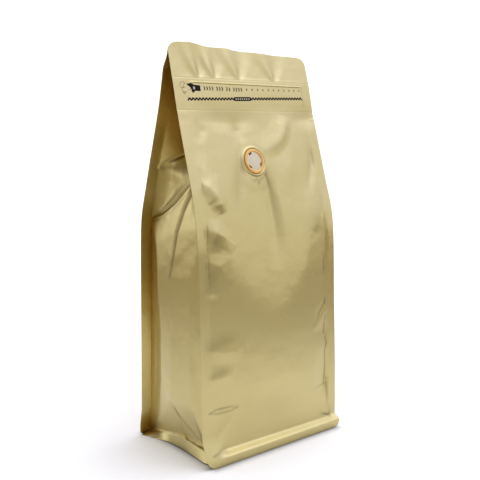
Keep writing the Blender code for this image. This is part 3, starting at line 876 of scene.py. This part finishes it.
def pillShapes():
    look = artwork["pill"]
    end = look["tall"] / 2
    left, right, height = look["from"] + end, look["to"] - end, look["height"]
    turns = np.radians(np.linspace(-90, 90, 9))
    body = [(right + end * math.cos(t), height + end * math.sin(t)) for t in turns]
    body += [(left - end * math.cos(t), height - end * math.sin(t)) for t in turns]
    gap = (right - left) / look["marks"]
    marks = []
    for i in range(look["marks"]):
        x, up = left + (i + 0.5) * gap, look["markTall"] / 2
        marks.append(box(x - look["markWide"] / 2, height - up, x + look["markWide"] / 2, height + up))
    return [climbed(body)], [climbed(mark) for mark in marks]


def chevron(x, z, wide, tall, line):
    upper = [(x, z + tall / 2), (x + line * 1.4, z + tall / 2), (x + wide, z), (x + wide - line * 1.4, z)]
    lower = [(px, 2 * z - pz) for px, pz in upper][::-1]
    return [upper, lower]


def openingMarks():
    look = artwork["marks"]
    shapes, x = [], look["from"]
    for group in look["groups"]:
        for _ in range(group):
            shapes += chevron(x, look["height"], look["wide"], look["tall"], look["line"])
            x += look["step"]
        x += look["space"]
    return shapes


def arrowShapes():
    look = artwork["arrows"]
    shapes = []
    for i in range(look["count"]):
        share = i / (look["count"] - 1)
        x = look["from"] + share * (look["to"] - look["from"])
        z = look["height"] + share * look["climb"]
        shapes.append([(x, z - look["tall"] / 2), (x + look["wide"], z), (x, z + look["tall"] / 2)])
    return shapes


inks = {
    "black": {"colour": "#100E0E", "shade": "#171414", "roughness": 0.5, "cloudMm": 3, "specular": 0.1},
    "string": {"colour": "#6F6549", "shade": "#7C7152", "roughness": 0.5, "cloudMm": 3, "specular": 0.2},
    "marks": {"colour": "#1E1A15", "shade": "#27221B", "roughness": 0.5, "cloudMm": 3, "specular": 0.2},
    "pale": {"colour": "#C9BE9C", "shade": "#BDB190", "roughness": 0.5, "cloudMm": 3, "specular": 0.2},
    "fading": {"colour": "#0E0C0A", "shade": "#6F664C", "roughness": 0.45, "cloudMm": 3, "specular": 0.2,
               "fade": (-2, 58)},
}


def addPrint():
    # gravure-printed solvent inks on the lacquer: flat marks, much less shiny than the film round them
    black = coatedMaterial("gravureInkBlack", inks["black"])
    pale = coatedMaterial("gravureInkPale", inks["pale"])
    body, marks = pillShapes()
    printSheet("printStripe", stripeBars(), black)
    printSheet("printPill", body, black, 0.02)
    printSheet("printPillMarks", marks, pale, 0.04)
    printSheet("printTab", artwork["tab"], black)
    printSheet("printTabHole", [oval(*artwork["hole"]), artwork["wedge"]], pale, 0.03)
    loops = [shape for loop in artwork["loops"] for shape in arc(*loop, artwork["loopLine"])]
    printSheet("printString", loops, coatedMaterial("gravureInkGrey", inks["string"]))
    printSheet("printOpeningMarks", openingMarks(), coatedMaterial("gravureInkThin", inks["marks"]))
    printSheet("printArrows", arrowShapes(), coatedMaterial("gravureInkFading", inks["fading"]))


# one-way valve: an amber ring with a film disc in it, in a pressed rim of the pouch film
valve = {
    "steps": 120,
    "sharp": 50,
    "ringInner": 7.5,
    "ringOuter": 9.8,
    "ringHigh": 1.5,
    "ringCrown": 0.8,
    "rimOuter": 12.8,
    "rimHigh": 0.6,
    "rimSkew": (1.5, 1.15, 1.2),  # crest towards the ring, how much of the wave, its roundness
    "grooveDeep": 0.05,
    "discHigh": 0.55,
    "discDome": 0.25,
    "slotAngles": (116, 222, 338),
    "slotAt": 6.7,
    "slotLong": 3,
    "slotWide": 1.5,
    "slotDeep": 0.5,
    "amber": {"colour": "#F0C06C", "shade": "#E6B05A", "roughness": 0.28, "cloudMm": 4},
    "disc": {"colour": "#D0C6AC", "shade": "#C6BA98", "roughness": 0.4, "cloudMm": 5, "metallic": 0.5},
    "slot": {"colour": "#4A3418", "shade": "#3A2812", "roughness": 0.6, "cloudMm": 1},
}


def onSeat(local):
    # from the valve's own axis, which points out of the pouch, to the pouch's frame
    x, z = valveAt
    turn = Matrix.Rotation(math.atan(film["twist"] / halfWidth), 3, "Z")
    turn = turn @ Matrix.Rotation(math.pi / 2 - math.atan(film["lean"]), 3, "X")
    return np.array((x, valveSeat(x, z), z)) + np.asarray(local) @ np.array(turn).T


def turnedMesh(name, profile, material, shut=True):
    # a profile of (radius, height) turned about the valve's axis
    angle = np.linspace(0, 2 * np.pi, valve["steps"], endpoint=False)
    rows = [np.column_stack((radius * np.cos(angle), radius * np.sin(angle), np.full_like(angle, height)))
            for radius, height in profile]
    faces = quadFaces(len(rows), valve["steps"], closed=True, ring=shut)
    return meshObject(name, onSeat(np.concatenate(rows)), faces, material, valve["sharp"])


def ringProfile():
    middle = (valve["ringInner"] + valve["ringOuter"]) / 2
    half = valve["ringOuter"] - middle
    crown = half * valve["ringCrown"]
    turns = np.radians(np.linspace(0, 180, 13))
    top = [(middle + half * math.cos(t), valve["ringHigh"] - crown + crown * math.sin(t)) for t in turns]
    return [(valve["ringOuter"], 0)] + top + [(valve["ringInner"], 0)]


def rimProfile():
    # pressed film: up to a soft rim, then down into a groove beside the ring
    radii = np.linspace(valve["rimOuter"], valve["ringOuter"] - 0.2, 15)
    share = (valve["rimOuter"] - radii) / (radii[0] - radii[-1])
    skew, reached, roundness = valve["rimSkew"]
    wave = np.sin(np.pi * np.clip(share ** skew * reached, 0, 1)) ** roundness
    return list(zip(radii, valve["rimHigh"] * wave + valve["grooveDeep"]))


def slotShare(u, v):
    # 1 inside a slot, 0 outside
    total = np.zeros_like(u)
    for angle in valve["slotAngles"]:
        out = math.radians(angle)
        radial = u * math.cos(out) + v * math.sin(out) - valve["slotAt"]
        sideways = v * math.cos(out) - u * math.sin(out)
        inside = (np.abs(radial) < valve["slotWide"] / 2) & (np.abs(sideways) < valve["slotLong"] / 2)
        total = np.maximum(total, inside.astype(float))
    return total


def discMesh(material, dark):
    radii = np.linspace(0.1, valve["ringInner"], 40)
    angle = np.linspace(0, 2 * np.pi, valve["steps"], endpoint=False)
    radius, turn = np.meshgrid(radii, angle, indexing="ij")
    u, v = radius * np.cos(turn), radius * np.sin(turn)
    high = valve["discHigh"] + valve["discDome"] * (1 - (radius / valve["ringInner"]) ** 2)
    high = high - valve["slotDeep"] * slotShare(u, v)
    faces = [[a, d, c, b] for a, b, c, d in quadFaces(*u.shape, closed=True)]
    faces.append(list(range(valve["steps"])))
    points = onSeat(np.column_stack((u.ravel(), v.ravel(), high.ravel())))
    piece = meshObject("valveDisc", points, faces, material, valve["sharp"])
    piece.data.materials.append(dark)
    pressed = slotShare(u, v).ravel()
    for polygon in piece.data.polygons:
        if all(pressed[corner] > 0 for corner in polygon.vertices):
            polygon.material_index = 1
    return piece


def addValve(gold):
    # moulded amber polypropylene gives a warm glossy ring, and the disc of laminated film is satin and pale;
    # in the slots the plastic under it is in shade
    ring = turnedMesh("valveRing", ringProfile(), coatedMaterial("mouldedAmberPolypropylene", valve["amber"]))
    dress(ring, "valve_ring")
    disc = discMesh(coatedMaterial("laminatedFilmDisc", valve["disc"]),
                    coatedMaterial("shadedPolypropylene", valve["slot"]))
    dress(disc, "valve_cap")
    rim = turnedMesh("valveRim", rimProfile(), gold, shut=False)
    dress(rim)


# camera
camera = {"at": (-0.379, -0.473, 0.244), "yaw": 38.8, "tilt": 7.7, "roll": -0.64, "lens": 56.1}


def addCamera():
    data = bpy.data.cameras.new("camera")
    data.lens = camera["lens"]
    data.sensor_width = 36
    data.clip_start = 0.02
    made = bpy.data.objects.new("camera", data)
    bpy.context.scene.collection.objects.link(made)
    turn = Matrix.Rotation(math.radians(-camera["yaw"]), 4, "Z")
    turn = turn @ Matrix.Rotation(math.radians(90 - camera["tilt"]), 4, "X")
    turn = turn @ Matrix.Rotation(math.radians(camera["roll"]), 4, "Z")
    made.matrix_world = Matrix.Translation(camera["at"]) @ turn
    bpy.context.scene.camera = made


# light
studio = {
    "floor": "#FFFEF8",
    # painted contact shadow under the pouch: its colour, its reach and the openness over which it fades
    "contactShadow": "#4A4A4A",
    "contact": 0.009,
    "contactOpenness": (0.35, 0.95),
    "floorDrop": 0.2,
    "floorFade": (0.12, 0.72),
    # brightness of each wall of light by height in degrees; dim walls are warm, bright ones neutral
    "heights": (-12, -6, 0, 8, 16, 26, 38, 55, 90),
    "frontRight": (0.22, 0.45, 1.18, 1.15, 1.08, 1.18, 1.8, 2.1, 2),
    "backRight": (1, 1, 1, 1.05, 1.1, 1.1, 1.15, 1.6, 2),
    "backLeft": (0.4, 0.3, 0.9, 1.6, 1.5, 0.45, 0.1, 1, 2),
    "frontLeft": (0.25, 0.4, 0.65, 0.8, 0.6, 0.05, 0, 1.3, 2),
    "cool": (1, 1, 1, 1.03, 1.1, 1.25, 1.4, 1.15, 1.05),  # how much more blue by height
    "bearing": -51,  # of the front right wall, degrees from +X
    "brightest": 2.5,
    "warmUnder": 1.1,
    "background": 1.3,
}


def wallColour(strength, cool):
    dim = max(0, 1 - strength / studio["warmUnder"])
    share = strength / studio["brightest"]
    return share, share * (1 - 0.3 * dim) * (0.9 + 0.1 * cool), share * (1 - 0.9 * dim) * cool, 1


def addWall(tree, level, fraction, bearing, strengths):
    # one side's light: a ramp by height, strongest in the middle of the side
    towards = (math.cos(math.radians(bearing)), math.sin(math.radians(bearing)), 0)
    facing = addNode(tree, "VectorMath", {"operation": "DOT_PRODUCT"}, {1: towards}, {0: level})
    ahead = addNode(tree, "Math", {"operation": "MAXIMUM"}, {1: 0}, {0: facing.outputs["Value"]})
    weight = addNode(tree, "Math", {"operation": "POWER"}, {1: 2}, {0: ahead.outputs[0]})
    wall = addNode(tree, "ValToRGB", links={"Fac": fraction})
    levels = zip(studio["heights"], strengths, studio["cool"])
    setStops(wall, [((height + 90) / 180, wallColour(strength, cool)) for height, strength, cool in levels])
    return addNode(tree, "VectorMath", {"operation": "SCALE"},
                   links={0: wall.outputs["Color"], "Scale": weight.outputs[0]}).outputs[0]


def addStudio():
    world = bpy.data.worlds.new("studio")
    bpy.context.scene.world = world
    world.use_nodes = True
    tree = world.node_tree
    tree.nodes.clear()
    direction = addNode(tree, "TexCoord").outputs["Generated"]
    height = addNode(tree, "SeparateXYZ", links={0: direction}).outputs["Z"]
    angle = addNode(tree, "Math", {"operation": "ARCSINE"}, links={0: height})
    fraction = addNode(tree, "MapRange",
                       values={"From Min": -math.pi / 2, "From Max": math.pi / 2},
                       links={"Value": angle.outputs[0]}).outputs[0]
    flat = addNode(tree, "VectorMath", {"operation": "MULTIPLY"}, {1: (1, 1, 0)}, {0: direction})
    level = addNode(tree, "VectorMath", {"operation": "NORMALIZE"},
                    links={0: flat.outputs[0]}).outputs[0]
    total = None
    for turn, side in enumerate(("frontRight", "backRight", "backLeft", "frontLeft")):
        light = addWall(tree, level, fraction, studio["bearing"] + 90 * turn, studio[side])
        total = light if total is None else addNode(
            tree, "VectorMath", {"operation": "ADD"}, links={0: total, 1: light}).outputs[0]
    walls = addNode(tree, "Background", values={"Strength": studio["brightest"]},
                    links={"Color": total})
    paper = addNode(tree, "Background", values={"Strength": studio["background"]})
    paper.inputs["Color"].default_value = (1, 1, 1, 1)
    seen = addNode(tree, "LightPath").outputs["Is Camera Ray"]
    mix = addNode(tree, "MixShader", links={0: seen, 1: walls.outputs[0], 2: paper.outputs[0]})
    addNode(tree, "OutputWorld", links={"Surface": mix.outputs[0]})
    bpy.context.scene.view_settings.view_transform = "Standard"


def addFloor():
    # matt white card that fades out towards its rim, so that it has no edge
    material, tree = newMaterial("mattWhiteCard")
    place = addNode(tree, "TexCoord").outputs["Object"]
    away = addNode(tree, "VectorMath", {"operation": "LENGTH"}, links={0: place})
    fade = addNode(tree, "MapRange", {"interpolation_type": "SMOOTHSTEP"},
                   {"From Min": studio["floorFade"][0], "From Max": studio["floorFade"][1]},
                   {"Value": away.outputs["Value"]})
    # painted contact shadow: ambient occlusion darkens the card towards grey where the pouch stands on it
    hollow = addNode(tree, "AmbientOcclusion", {"samples": 8}, {"Distance": studio["contact"]})
    closed, opened = studio["contactOpenness"]
    openness = addNode(tree, "MapRange", values={"From Min": closed, "From Max": opened},
                       links={"Value": hollow.outputs["AO"]})
    tint = addNode(tree, "Mix", {"data_type": "RGBA"},
                   {6: linearColour(studio["contactShadow"]), 7: linearColour(studio["floor"])},
                   {0: openness.outputs[0]})
    card = addNode(tree, "BsdfPrincipled", values={"Roughness": 0.9, "Specular IOR Level": 0.2},
                   links={"Base Color": tint.outputs[2]})
    clear = addNode(tree, "BsdfTransparent")
    mix = addNode(tree, "MixShader",
                  links={0: fade.outputs[0], 1: card.outputs[0], 2: clear.outputs[0]})
    addNode(tree, "OutputMaterial", links={"Surface": mix.outputs[0]})
    size = studio["floorFade"][1]
    mesh = bpy.data.meshes.new("floor")
    corners = [(-size, -size, 0), (size, -size, 0), (size, size, 0), (-size, size, 0)]
    mesh.from_pydata(corners, [], [(0, 1, 2, 3)])
    mesh.materials.append(material)
    made = bpy.data.objects.new("floor", mesh)
    bpy.context.scene.collection.objects.link(made)
    made.location.z = -studio["floorDrop"] * mm


addCamera()
addStudio()
addFloor()
print("camera, light and floor set")
gold = metallisedFilm()
pouch = pouchMesh(gold)
dress(pouch, "pouch")
print("pouch film shaped")
dress(stripMesh(gold), "tear_strip")
addPrint()
addValve(gold)
print("strip, print and valve placed")
